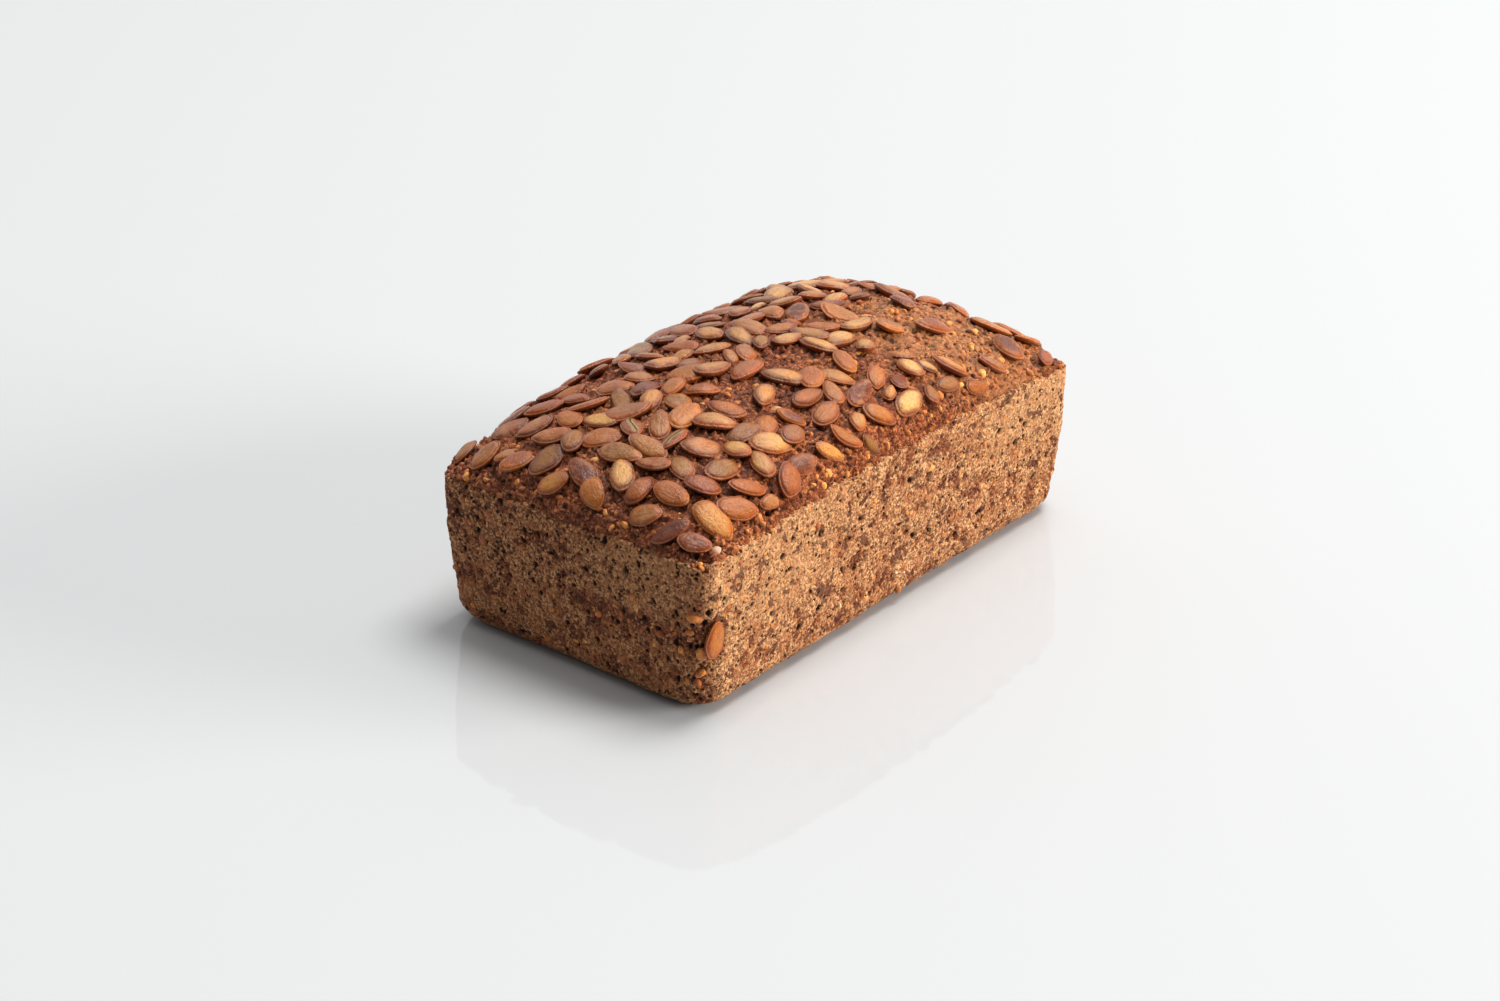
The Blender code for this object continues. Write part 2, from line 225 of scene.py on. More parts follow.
def off_plan(x, y, half_x, half_y, radius):
    """The (u, v) that on_plan takes to (x, y)."""
    px, py = abs(x), abs(y)
    centre_x, centre_y = half_x - radius, half_y - radius
    reach = max(px / half_x, py / half_y)
    if reach == 0.0:
        return 0.0, 0.0
    along, size = px * centre_x + py * centre_y, px * px + py * py
    root = along * along - size * (centre_x**2 + centre_y**2 - radius**2)
    if px / reach > centre_x and py / reach > centre_y and root > 0.0:
        out = (along + math.sqrt(root)) / size
        from_x, from_y = px * out - centre_x, py * out - centre_y
        if from_x > 0.0 and from_y > 0.0:
            scale = radius / max(from_x, from_y)
            px, py = (centre_x + from_x * scale) / out, (centre_y + from_y * scale) / out
    return math.copysign(px / half_x, x), math.copysign(py / half_y, y)


def rim_height(u, v):
    """Height of the tin's mark, carried inwards over the top."""
    return RIM_Z + RIM_LIFT * np.maximum(1.0 - u * u, 0.0) * np.minimum(np.abs(v), 1.0) ** 4


def top_height(u, v, x, y):
    """Height of the dome above the base."""
    flat = np.stack([x, y, np.zeros_like(x)], axis=-1)
    lumps = LUMP_HEIGHT * (field(flat, LUMP_SIZE) + 0.5 * field(flat, LUMP_SIZE / 2.1))
    along = np.maximum(1.0 - np.abs(u) ** DOME_ALONG, 0.0) ** DOME_POWER
    across = np.maximum(1.0 - np.abs(v) ** DOME_ACROSS, 0.0) ** DOME_POWER
    return rim_height(u, v) + (DOME_RISE + lumps) * along * across


def dome(x, y):
    """Height of the dome at one point of the plan."""
    half_x, half_y = half_sizes(RIM_Z)
    u, v = off_plan(x, y, half_x, half_y, CORNER_RADIUS_RIM)
    return float(top_height(*(np.array([value]) for value in (u, v, x, y)))[0])


# Where the kernels lie

def kernel_half_width(s):
    """Half width of a kernel, as a share of the greatest, at s from the blunt end, -1, to the tip, 1."""
    widest = (KERNEL_TIP - KERNEL_BLUNT) / (KERNEL_TIP + KERNEL_BLUNT)
    most = (1.0 - widest) ** KERNEL_BLUNT * (1.0 + widest) ** KERNEL_TIP
    return (1.0 + s) ** KERNEL_BLUNT * (1.0 - s) ** KERNEL_TIP / most


def footprint(x, y, turn, length, width):
    """Points of the plan that a kernel covers: its middle, and two rings."""
    points = [(x, y)]
    for share, count in ((0.5, 6), (0.95, 12)):
        for k in range(count):
            angle = 2.0 * math.pi * k / count
            along = share * length / 2 * math.cos(angle)
            aside = share * width / 2 * math.copysign(kernel_half_width(math.cos(angle)), math.sin(angle))
            points.append((x + along * math.cos(turn) - aside * math.sin(turn),
                           y + along * math.sin(turn) + aside * math.cos(turn)))
    return points


class Pile:
    """The height of the kernels that lie on the dough, over a grid of cells."""

    def __init__(self):
        self.heights = {}

    def at(self, x, y):
        return self.heights.get((round(x / CELL), round(y / CELL)), 0.0)

    def add(self, kernel):
        reach = math.ceil(kernel.length / 2 / CELL)
        middle_i, middle_j = round(kernel.x / CELL), round(kernel.y / CELL)
        for i in range(middle_i - reach, middle_i + reach + 1):
            for j in range(middle_j - reach, middle_j + reach + 1):
                dx, dy = i * CELL - kernel.x, j * CELL - kernel.y
                s = (dx * math.cos(kernel.turn) + dy * math.sin(kernel.turn)) / (kernel.length / 2)
                t = (dy * math.cos(kernel.turn) - dx * math.sin(kernel.turn)) / (kernel.width / 2)
                if abs(s) >= 1.0 or abs(t) >= kernel_half_width(s):
                    continue
                bulge = math.sqrt(max(1.0 - s * s - t * t, 0.0)) * kernel.thickness / 2
                here = kernel.height + kernel.slope_x * dx + kernel.slope_y * dy + bulge
                self.heights[i, j] = max(self.at(i * CELL, j * CELL), here)


def leaning_plane(points, heights):
    """Mean height and slopes of the plane that fits the heights over the points best."""
    away = np.array(points) - np.mean(points, axis=0)
    mean = float(np.mean(heights))
    (xx, xy), (_, yy) = (away.T @ away).tolist()
    xh, yh = (away.T @ (np.array(heights) - mean)).tolist()
    whole = xx * yy - xy * xy
    return mean, (xh * yy - yh * xy) / whole, (yh * xx - xh * xy) / whole


def settle(pile, kernel, lean_x, lean_y):
    """The kernel as it comes to lie on the pile, turned to cover others least, or None where it can't."""
    best = None
    for k in range(TURNS_TRIED):
        turn = kernel.turn + math.pi * k / TURNS_TRIED
        points = footprint(kernel.x, kernel.y, turn, kernel.length, kernel.width)
        heights = [pile.at(*point) for point in points]
        covered = sum(height > 0.0 for height in heights) / len(heights)
        if best is None or covered < best[0]:
            best = (covered, turn, points, heights)
    covered, turn, points, heights = best
    if covered > MOST_COVERED:
        return None
    mean, slope_x, slope_y = leaning_plane(points, heights)
    alone = LOOSE_LEAN * (1.0 - min(covered * 3.0, 1.0))
    slope_x, slope_y = slope_x + lean_x * alone, slope_y + lean_y * alone
    ease = MOST_LEAN / max(math.hypot(slope_x, slope_y), MOST_LEAN)
    height = PRESSED_IN + mean * RESTING
    return kernel._replace(turn=turn, height=height, slope_x=slope_x * ease, slope_y=slope_y * ease)


def kernel_matrix(kernel):
    """Stands a kernel on the dome, turned about its normal and leaning by its two slopes."""
    x, y = kernel.x, kernel.y
    rise_x = dome(x + SLOPE_STEP, y) - dome(x - SLOPE_STEP, y)
    rise_y = dome(x, y + SLOPE_STEP) - dome(x, y - SLOPE_STEP)
    along = Vector((2 * SLOPE_STEP, 0.0, rise_x + kernel.slope_x * 2 * SLOPE_STEP))
    across = Vector((0.0, 2 * SLOPE_STEP, rise_y + kernel.slope_y * 2 * SLOPE_STEP))
    up = along.cross(across).normalized()
    heading = Vector((math.cos(kernel.turn), math.sin(kernel.turn), 0.0))
    forward = (heading - up * heading.dot(up)).normalized()
    side = up.cross(forward)
    middle = Vector((x, y, dome(x, y))) + up * kernel.height
    return Matrix.Translation(middle) @ Matrix((forward, side, up)).transposed().to_4x4()


def inside_walls(kernel):
    """Whether a kernel's whole outline stays inside the tin's walls."""
    half_x, half_y = half_sizes(RIM_Z)
    matrix = kernel_matrix(kernel)
    for x, y in footprint(0.0, 0.0, 0.0, kernel.length, kernel.width):
        place = matrix @ Vector((x, y, 0.0))
        if abs(place.x) > half_x - WALL_CLEARANCE or abs(place.y) > half_y - WALL_CLEARANCE:
            return False
    return True


def least_gap(x, y):
    """Least distance between the middles of two kernels here."""
    for patch_x, patch_y, radius in BARE_PATCHES:
        if math.hypot(x - patch_x, y - patch_y) < radius:
            return BARE_GAP
    return CLOSE_GAP


def strew_kernels():
    """The kernels of the top, in the order in which they fell, and the pile that they make."""
    draw = random.Random(KERNEL_DRAW)
    half_x, half_y = half_sizes(RIM_Z)
    pile, kernels = Pile(), []
    for _ in range(KERNEL_TRIES):
        x, y = draw.uniform(-half_x, half_x), draw.uniform(-half_y, half_y)
        size = min(max(draw.gauss(1.0, SIZE_SPREAD), SMALLEST), LARGEST)
        width = KERNEL_WIDTH * size * draw.uniform(SLIMMEST, STOUTEST)
        turn, lean_x, lean_y = draw.uniform(0.0, 2.0 * math.pi), draw.gauss(0.0, 1.0), draw.gauss(0.0, 1.0)
        u, v = off_plan(x, y, half_x, half_y, CORNER_RADIUS_RIM)
        if max(abs(u), abs(v)) > EDGE_LIMIT or min(abs(u), abs(v)) > CORNER_LIMIT:
            continue
        gap = least_gap(x, y)
        if any(math.hypot(x - other.x, y - other.y) < gap for other in kernels):
            continue
        falling = Kernel(x, y, turn, KERNEL_LENGTH * size, width, KERNEL_THICKNESS * math.sqrt(size))
        kernel = settle(pile, falling, lean_x, lean_y)
        if kernel is None or not inside_walls(kernel):
            continue
        pile.add(kernel)
        kernels.append(kernel)
    return kernels, pile


# Meshes

def grid_faces(rows, columns, closed):
    """Quads of a grid stored row by row, which face up where rows go with X and columns with Y."""
    i = np.arange(rows - 1)[:, None]
    j = np.arange(columns if closed else columns - 1)[None, :]
    after = (j + 1) % columns
    corners = [i * columns + j, (i + 1) * columns + j, (i + 1) * columns + after, i * columns + after]
    return np.stack(corners, axis=-1).reshape(-1, 4).tolist()


def grid_border(rows, columns):
    """The points round the edge of a grid, counterclockwise seen from above."""
    last_i, last_j = rows - 1, columns - 1
    border = [i * columns for i in range(last_i)] + [last_i * columns + j for j in range(last_j)]
    return border + [i * columns + last_j for i in range(last_i, 0, -1)] + list(range(last_j, 0, -1))


def band_faces(upper, lower):
    """Quads of an upright band between two closed lines that run counterclockwise seen from above."""
    count = len(upper)
    return [[upper[(k + 1) % count], upper[k], lower[k], lower[(k + 1) % count]] for k in range(count)]


def new_mesh(name, points, faces):
    mesh = bpy.data.meshes.new(name)
    mesh.from_pydata(np.asarray(points).tolist(), [], faces)
    mesh.update()
    return mesh


def read_vectors(rows, name):
    """One vector for each of a mesh's points, as an array."""
    values = np.empty(len(rows) * 3)
    rows.foreach_get(name, values)
    return values.reshape(-1, 3)


def put(mesh, name, values):
    """Gives every point of a mesh a number that the material reads."""
    numbers = mesh.attributes.new(name, "FLOAT", "POINT").data
    numbers.foreach_set("value", np.asarray(values, dtype=np.float32))


def new_object(name, data):
    made = bpy.data.objects.new(name, data)
    bpy.context.scene.collection.objects.link(made)
    return made


def add_piece(name, mesh, material):
    mesh.shade_smooth()
    mesh.materials.append(material)
    piece = new_object(name, mesh)
    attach(piece, "root")
    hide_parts("loaf")


# Relief of the crust

# Waves, each with its height, the size of its lumps and the shift of its noise
RAGGED_EDGE = ((0.0018, 0.0110, 4.2), (0.0014, 0.0038, 9.1), (0.0008, 0.0015, 1.7))
TORN_PATCHES = ((0.9, 0.0068, 11.7), (0.7, 0.0030, 5.3), (0.4, 0.0014, 2.9))
SKIN_SWELL = ((0.0005, 0.0340, 3.1), (0.0003, 0.0060, 7.7))
SKIN_GRAIN = ((0.00026, 0.0024, 8.8), (0.00020, 0.0012, 6.4))
DOUGH_CRUMBS = ((0.40, 0.0062, 2.2), (0.35, 0.0030, 14.5), (0.30, 0.0016, 31.0))

# Pores, each kind with its count, least and greatest radius, and depth as a share of the radius
LARGE_PORES = (620, 0.0006, 0.0018, 0.85)
SMALL_PORES = (6500, 0.00036, 0.0008, 0.9)
END_PORES = (150, 0.0009, 0.0021, 0.75)
DOUGH_PORES = (900, 0.0006, 0.0016, 0.9)
BASE_PORES = (700, 0.0015, 0.0034, 0.35)
PORE_STRETCH = 0.9
PORE_WARP = 0.00035

TORN_DEPTH = 0.0004
HOLLOW_DEPTH = 0.0007
CRUMB_HEIGHT = 0.0040


def pits(points, pores, draw, among=None):
    """Depth of irregular pores round centres drawn at random, and how deep in one each point is."""
    count, radius_low, radius_high, depth = pores
    warp = np.stack([field(points, 0.0013, shift) for shift in (21.3, 37.9, 55.1)], axis=-1)
    warped = points + warp * PORE_WARP
    tree = kdtree.KDTree(len(points))
    for number, place in enumerate(warped.tolist()):
        tree.insert(place, number)
    tree.balance()
    sunk, inside = np.zeros(len(points)), np.zeros(len(points))
    middles = range(len(points)) if among is None else among
    for _ in range(count):
        centre = warped[draw.choice(middles)]
        radius = radius_low + (radius_high - radius_low) * draw.random() ** 2.2
        axis = np.array([draw.gauss(0.0, 1.0) for _ in range(3)])
        axis /= np.linalg.norm(axis)
        found = [number for _, number, _ in tree.find_range(centre.tolist(), radius)]
        if not found:
            continue
        away = warped[found] - centre
        along = away @ axis
        squared = (away**2).sum(axis=1)
        apart = np.sqrt(squared + PORE_STRETCH * (squared - along**2)) / radius
        share = smoothstep(1.0, 0.45, apart)
        sunk[found] = np.maximum(sunk[found], share * depth * radius)
        inside[found] = np.maximum(inside[found], share)
    return sunk, inside


def skin_relief(points, draw):
    """Offset of the tinned skin, and the numbers that its material reads at each point."""
    calm = calmness(points)
    torn = smoothstep(0.14, 0.40, waves(points, TORN_PATCHES) - 0.8 * calm)
    ends = smoothstep(LENGTH / 2 - 0.006, LENGTH / 2 - 0.002, np.abs(points[:, 0]))
    large, in_large = pits(points, LARGE_PORES, draw)
    small, in_small = pits(points, SMALL_PORES, draw)
    wide, in_wide = pits(points, END_PORES, draw, np.flatnonzero(ends > 0.5).tolist())
    offset = waves(points, SKIN_SWELL) - TORN_DEPTH * torn
    offset += waves(points, SKIN_GRAIN) * (0.7 + torn) - np.maximum(wide, np.maximum(large, small))
    hollow = beside_side_kernel(points)
    offset -= HOLLOW_DEPTH * hollow
    pore = np.maximum(np.maximum(in_large, in_wide), in_small * 0.75)
    calm = smoothstep(0.0, 0.7, calm)
    return offset, {"torn": np.maximum(torn, hollow), "calm": calm, "pore": pore, "end_shade_tint": ends}


def beside_side_kernel(points):
    """1 under and round the kernel in the long side, 0 away from it."""
    along, upright = points[:, 0] - SIDE_KERNEL.x, points[:, 2] - SIDE_KERNEL.height
    forward = along * math.cos(SIDE_KERNEL.turn) + upright * math.sin(SIDE_KERNEL.turn)
    aside = upright * math.cos(SIDE_KERNEL.turn) - along * math.sin(SIDE_KERNEL.turn)
    apart = np.hypot(forward / SIDE_KERNEL.length, aside / SIDE_KERNEL.width) * 2.0
    return smoothstep(1.35, 1.05, apart) * (points[:, 1] < 0.0)


def calmness(points):
    """How much of the even, pale skin shows: most in the two patches of the -Y side that have it."""
    calm = 0.35 * field(points, 0.024, 8.3)
    for x, z, wide, high in CALM_PATCHES:
        away = ((points[:, 0] - x) / wide) ** 2 + ((points[:, 2] - z) / high) ** 2
        calm = calm + np.exp(-away) * (points[:, 1] < 0.0)
    return calm


def dough_relief(points, draw):
    """Offset of the crumbly top, how low in its creases each point lies, and how deep in a pore; the material
    paints both as shade.
    """
    crumbs = sum(height * np.abs(field(points, size, shift)) for height, size, shift in DOUGH_CRUMBS)
    sunk, inside = pits(points, DOUGH_PORES, draw)
    offset = (crumbs - 0.30) * CRUMB_HEIGHT - DOUGH_SUNK - sunk
    return offset, smoothstep(0.24, 0.06, crumbs), inside


# The walls of the crust

def perimeter():
    """(u, v) round the rim from the corner (1, -1) by way of (-1, -1), and the number in half a round."""
    along, across = round(LENGTH / WALL_STEP), round(WIDTH / WALL_STEP)
    t_long = 1.0 - 2.0 * np.arange(along) / along
    t_short = -1.0 + 2.0 * np.arange(across) / across
    u = np.concatenate([t_long, -np.ones(across), -t_long, np.ones(across)])
    v = np.concatenate([-np.ones(along), t_short, np.ones(along), -t_short])
    return u, v, along + across


def wall_rows():
    """Share of the rim's height, inset and reach of each row of the walls, from the base to over the rim."""
    turn = np.linspace(0.0, math.pi / 2, FOOT_ROWS)
    share, inset = FOOT_RADIUS * (1.0 - np.cos(turn)) / RIM_Z, FOOT_RADIUS * (1.0 - np.sin(turn))
    straight = np.linspace(share[-1], 1.0, round((RIM_Z - FOOT_RADIUS) / WALL_STEP))[1:]
    risen = np.linspace(0.0, OVERLAP, round(OVERLAP / WALL_STEP))[1:]
    reach = 1.0 - (risen / DOME_RISE) ** (1.0 / DOME_POWER) / 2.5
    shares = np.concatenate([share, straight, np.ones(len(risen))])
    insets = np.concatenate([inset, np.zeros(len(straight) + len(risen))])
    return shares, insets, np.concatenate([np.ones(len(share) + len(straight)), reach])


def wall_surface():
    """The plain walls, row by row: points, and the height of each above the tin's mark."""
    u, v, half = perimeter()
    points, above = [], []
    for share, inset, reach in zip(*wall_rows()):
        rim = rim_height(u, v)
        if reach < 1.0:
            x, y = on_plan(u * reach, v * reach, *half_sizes(RIM_Z), CORNER_RADIUS_RIM)
            z = top_height(u * reach, v * reach, x, y)
            rim = rim_height(u * reach, v * reach)
        else:
            z = share * rim
            half_x, half_y = half_sizes(z)
            x, y = on_plan(u, v, half_x - inset, half_y - inset, corner_radius(z) - inset / 2)
        points.append(np.stack([x, y, z], axis=-1))
        above.append(z - rim)
    return np.array(points), np.array(above), half


def inner_rows(points):
    """Two hidden rows that close a band of wall behind, from its top row down to its bottom row."""
    top, bottom = points[-1].copy(), points[0].copy()
    inwards = 1.0 - BACK_INSET / np.hypot(top[:, 0], top[:, 1])[:, None]
    top[:, :2] *= inwards
    bottom[:, :2] *= inwards
    top[:, 2] = RIM_Z - BACK_DROP
    bottom[:, 2] = FLOAT_GAP
    return top, bottom


def crust_walls(material):
    """The tinned sides in two closed pieces that meet at two upright edges, the near and the far half."""
    points, above, half = wall_surface()
    rows, columns = points.shape[:2]
    flat = points.reshape(-1, 3)
    plain = new_mesh("plain", flat, grid_faces(rows, columns, True))
    normals = read_vectors(plain.vertex_normals, "vector")
    bpy.data.meshes.remove(plain)
    offset, looks = skin_relief(flat, random.Random(WALL_DRAW))
    offset -= SINK * smoothstep(-DIVE_STARTS, DIVE_ENDS, above.ravel() - waves(flat, RAGGED_EDGE))
    foot = smoothstep(0.0, 0.002, flat[:, 2])
    moved = flat + normals * (offset * (0.25 + 0.75 * foot))[:, None]
    moved[:, 2] = np.maximum(moved[:, 2], 0.0)
    moved = moved.reshape(rows, columns, 3)
    for name, start in (("crust_walls_near", 0), ("crust_walls_far", half)):
        chosen = np.arange(start, start + half + 1) % columns
        part = moved[:, chosen]
        top, bottom = inner_rows(part)
        whole = np.concatenate([part, top[None], bottom[None]])
        width = half + 1
        faces = grid_faces(rows + 2, width, False)
        faces += [[(rows + 1) * width + j, j, j + 1, (rows + 1) * width + j + 1] for j in range(half)]
        faces.append([i * width for i in reversed(range(rows + 2))])
        faces.append([i * width + half for i in range(rows + 2)])
        mesh = new_mesh(name, whole.reshape(-1, 3), faces)
        for look, values in looks.items():
            put(mesh, look, np.append(values.reshape(rows, columns)[:, chosen].ravel(), np.zeros(2 * width)))
        add_piece(name, mesh, material)


# The cap of the crust

def even_stations(half, other_power, step):
    """Stations from -1 to 1 that lie evenly along the dome's profile over this half length."""
    fine = np.sin(np.linspace(-math.pi / 2, math.pi / 2, 20001))
    rise = DOME_RISE * np.maximum(1.0 - np.abs(fine) ** other_power, 0.0) ** DOME_POWER
    run = np.concatenate([[0.0], np.cumsum(np.hypot(np.diff(fine * half), np.diff(rise)))])
    return np.interp(np.linspace(0.0, run[-1], round(run[-1] / step) + 1), run, fine)


def crust_cap(pile, material):
    """The risen, crumbly top, with a skirt that runs down behind the walls' skin."""
    half_x, half_y = half_sizes(RIM_Z)
    us = even_stations(half_x, DOME_ALONG, CAP_STEP)
    vs = even_stations(half_y, DOME_ACROSS, CAP_STEP)
    u, v = (axis.ravel() for axis in np.meshgrid(us, vs, indexing="ij"))
    x, y = on_plan(u, v, half_x, half_y, CORNER_RADIUS_RIM)
    z = top_height(u, v, x, y)
    top = np.stack([x, y, z], axis=-1)
    above = z - rim_height(u, v)
    faces = grid_faces(len(us), len(vs), False)
    border = grid_border(len(us), len(vs))
    rings, heights = [], []
    for depth in np.linspace(0.0, OVERLAP, round(OVERLAP / CAP_STEP))[1:]:
        rim = top[border]
        drop = rim[:, 2] - depth
        wall_x, wall_y = half_sizes(drop)
        ring_x, ring_y = on_plan(u[border], v[border], wall_x, wall_y, corner_radius(drop))
        rings.append(np.stack([ring_x, ring_y, drop], axis=-1))
        heights.append(np.full(len(border), -depth))
    points = np.concatenate([top] + rings)
    above = np.concatenate([above] + heights)
    previous = border
    for number in range(len(rings)):
        ring = [len(top) + number * len(border) + k for k in range(len(border))]
        faces += band_faces(previous, ring)
        previous = ring
    faces.append(list(reversed(previous)))
    mesh = new_mesh("crust_cap", points, faces)
    offset, low, pore = dough_relief(points, random.Random(CAP_DRAW))
    offset -= SINK * smoothstep(DIVE_STARTS, -DIVE_ENDS, above - waves(points, RAGGED_EDGE))
    offset[:len(top)] += [BEDDING * (pile.at(*place) > 0.0) for place in top[:, :2].tolist()]
    moved = points + read_vectors(mesh.vertex_normals, "vector") * offset[:, None]
    mesh.vertices.foreach_set("co", moved.astype(np.float32).ravel())
    mesh.update()
    bare_x, bare_y, bare_radius = BARE_PATCHES[0]
    away = np.hypot(points[:, 0] - bare_x, points[:, 1] - bare_y) / bare_radius
    put(mesh, "low", low)
    put(mesh, "pore", pore)
    put(mesh, "bare", smoothstep(1.6, 0.5, away))
    add_piece("crust_cap", mesh, material)


def crust_base(material):
    """The underside: a thin slab that fills the foot of the walls, with pores in its flat face."""
    half_x, half_y = half_sizes(0.0)
    half_x, half_y = half_x - FOOT_RADIUS, half_y - FOOT_RADIUS
    radius = CORNER_RADIUS_FOOT - FOOT_RADIUS / 2
    us = np.linspace(-1.0, 1.0, round(2 * half_x / BASE_STEP) + 1)
    vs = np.linspace(-1.0, 1.0, round(2 * half_y / BASE_STEP) + 1)
    u, v = (axis.ravel() for axis in np.meshgrid(us, vs, indexing="ij"))
    x, y = on_plan(u, v, half_x, half_y, radius)
    inner = np.maximum(np.abs(u), np.abs(v)) < BASE_POROUS
    flat = np.stack([x, y, np.zeros_like(x)], axis=-1)
    sunk, pore = pits(flat, BASE_PORES, random.Random(BASE_DRAW))
    uneven = 0.0003 * smoothstep(0.0, 0.6, field(flat, 0.012, 6.1))
    flat[:, 2] = np.where(inner, sunk + uneven, 0.0)
    border = grid_border(len(us), len(vs))
    roof = flat[border] + np.array([0.0, 0.0, BASE_THICKNESS])
    above = [len(flat) + k for k in range(len(border))]
    faces = [list(reversed(face)) for face in grid_faces(len(us), len(vs), False)]
    faces += band_faces(above, border)
    faces.append(above)
    mesh = new_mesh("crust_base", np.concatenate([flat, roof]), faces)
    put(mesh, "torn", np.concatenate([smoothstep(0.1, 0.5, field(flat, 0.009, 1.1)), np.zeros(len(border))]))
    put(mesh, "pore", np.concatenate([pore * inner, np.zeros(len(border))]))
    add_piece("crust_base", mesh, material)


# Kernels and grains as joined meshes

class Joined:
    """Many closed shells collected into one mesh, with numbers for the material at every point."""

    def __init__(self):
        self.points, self.faces, self.values, self.count = [], [], {}, 0

    def add(self, points, faces, **values):
        self.faces += [[corner + self.count for corner in face] for face in faces]
        self.points.append(points)
        self.count += len(points)
        for name, value in values.items():
            self.values.setdefault(name, []).append(np.broadcast_to(value, (len(points),)))

    def mesh(self, name):
        mesh = new_mesh(name, np.concatenate(self.points), self.faces)
        for key, value in self.values.items():
            put(mesh, key, np.concatenate(value))
        return mesh


def placed(points, matrix):
    return points @ np.array(matrix.to_3x3()).T + np.array(matrix.translation)


def ball_faces(rings, around):
    """Faces of a ball: a pole, rings of points, and another pole."""
    faces = [[0, 1 + k, 1 + (k + 1) % around] for k in range(around)]
    for ring in range(rings - 1):
        start = 1 + ring * around
        for k in range(around):
            after = (k + 1) % around
            faces.append([start + k, start + around + k, start + around + after, start + after])
    start, pole = 1 + (rings - 1) * around, 1 + rings * around
    faces += [[start + k, pole, start + (k + 1) % around] for k in range(around)]
    return faces


KERNEL_AROUND = 24
KERNEL_SHARES = (0.25, 0.50, 0.70, 0.80, 0.85, 0.89, 0.93, 0.965, 0.99)
KERNEL_SLIM = 0.92
LIP_AT = 0.955
KERNEL_SQUARENESS = 3.2
KERNEL_UNDERSIDE = 0.85  # its height, as a share of that of the upper side
MARGIN_AT = 0.89
MARGIN_WIDTH = 0.035
SHALLOWEST_MARGIN, DEEPEST_MARGIN = 0.08, 0.34
KERNEL_RAISED = 0.00035  # over the solid's kernels, since the dough round them is sunk
USUAL_TILT = 0.09
STEEP_TILT = 0.24
STEEP_SHARE = 0.10
SPLIT_SHARE = 0.04
OVAL_WAVE, LUMPY_WAVE = 0.035, 0.020  # of the outline, as shares of its size
BEND_SPREAD, TWIST_SPREAD = 0.16, 0.05
LEAST_PUFF, MOST_PUFF = 0.82, 1.12
TILT_LIFT = 0.0015


def kernel_points(length, width, thickness, draw):
    """A puffed kernel with a flat margin, lying in its own frame, and how near its edge each point is."""
    angles = np.linspace(0.0, 2.0 * math.pi, KERNEL_AROUND, endpoint=False)
    oval, lumpy = draw.uniform(0.0, 6.3), draw.uniform(0.0, 6.3)
    wobble = 1.0 + OVAL_WAVE * np.sin(2.0 * angles + oval) + LUMPY_WAVE * np.sin(5.0 * angles + lumpy)
    outline_x = np.cos(angles) * length / 2 * wobble
    outline_y = np.copysign(kernel_half_width(np.cos(angles)), np.sin(angles)) * width / 2 * wobble
    bend, twist = draw.gauss(0.0, BEND_SPREAD), draw.gauss(0.0, TWIST_SPREAD)
    puff = draw.uniform(LEAST_PUFF, MOST_PUFF)
    margin = draw.uniform(SHALLOWEST_MARGIN, DEEPEST_MARGIN)
    high = thickness / 2 * puff
    levels = [(share, 1.0) for share in KERNEL_SHARES] + [(1.0, 0.0)]
    levels += [(share, -KERNEL_UNDERSIDE) for share in reversed(KERNEL_SHARES)]
    points, edge = [[0.0, 0.0, high]], [0.0]
    for share, side in levels:
        rise = math.sqrt(1.0 - share**KERNEL_SQUARENESS)
        rise -= margin * math.exp(-(((share - MARGIN_AT) / MARGIN_WIDTH) ** 2))
        points += [[px * share, py * share, side * rise * high] for px, py in zip(outline_x, outline_y)]
        edge += [share] * KERNEL_AROUND
    points.append([0.0, 0.0, -KERNEL_UNDERSIDE * high])
    edge.append(0.0)
    points = np.array(points)
    shift = draw.uniform(0.0, 90.0)
    points[:, 2] += 0.00016 * field(points, 0.0031, shift) * np.sign(points[:, 2] + 1e-7)
    points[:, 2] += bend * thickness * ((2.0 * points[:, 0] / length) ** 2 - 0.4)
    points[:, 2] += twist * points[:, 0] * points[:, 1] / width * 2.0
    return points, np.array(edge)


def pumpkin_kernels(kernels, material):
    """Every kernel of the top, and one baked flat into the long side near the near end."""
    draw = random.Random(PUFF_DRAW)
    joined = Joined()
    faces = ball_faces(2 * len(KERNEL_SHARES) + 1, KERNEL_AROUND)

    def add(matrix, kernel, tone, heart, bloom):
        points, edge = kernel_points(kernel.length, kernel.width * KERNEL_SLIM, kernel.thickness, draw)
        joined.add(
            placed(points, matrix), faces, edge=edge, along=points[:, 0], aside=points[:, 1], tone=tone,
            heart=heart, bloom=bloom, split=float(draw.random() < SPLIT_SHARE), spot=draw.uniform(0.0, 50.0),
        )

    for kernel in kernels:
        tilt = STEEP_TILT if draw.random() < STEEP_SHARE else abs(draw.gauss(0.0, USUAL_TILT))
        towards = draw.uniform(0.0, 2.0 * math.pi)
        lying = kernel._replace(height=kernel.height + KERNEL_RAISED + TILT_LIFT * tilt,
                                slope_x=kernel.slope_x + tilt * math.cos(towards),
                                slope_y=kernel.slope_y + tilt * math.sin(towards))
        add(kernel_matrix(lying), lying, draw.random(), draw.random(), draw.random())
    add(side_kernel_matrix(), SIDE_KERNEL, tone=0.55, heart=0.36, bloom=0.0)
    add_piece("pumpkin_kernels", joined.mesh("pumpkin_kernels"), material)


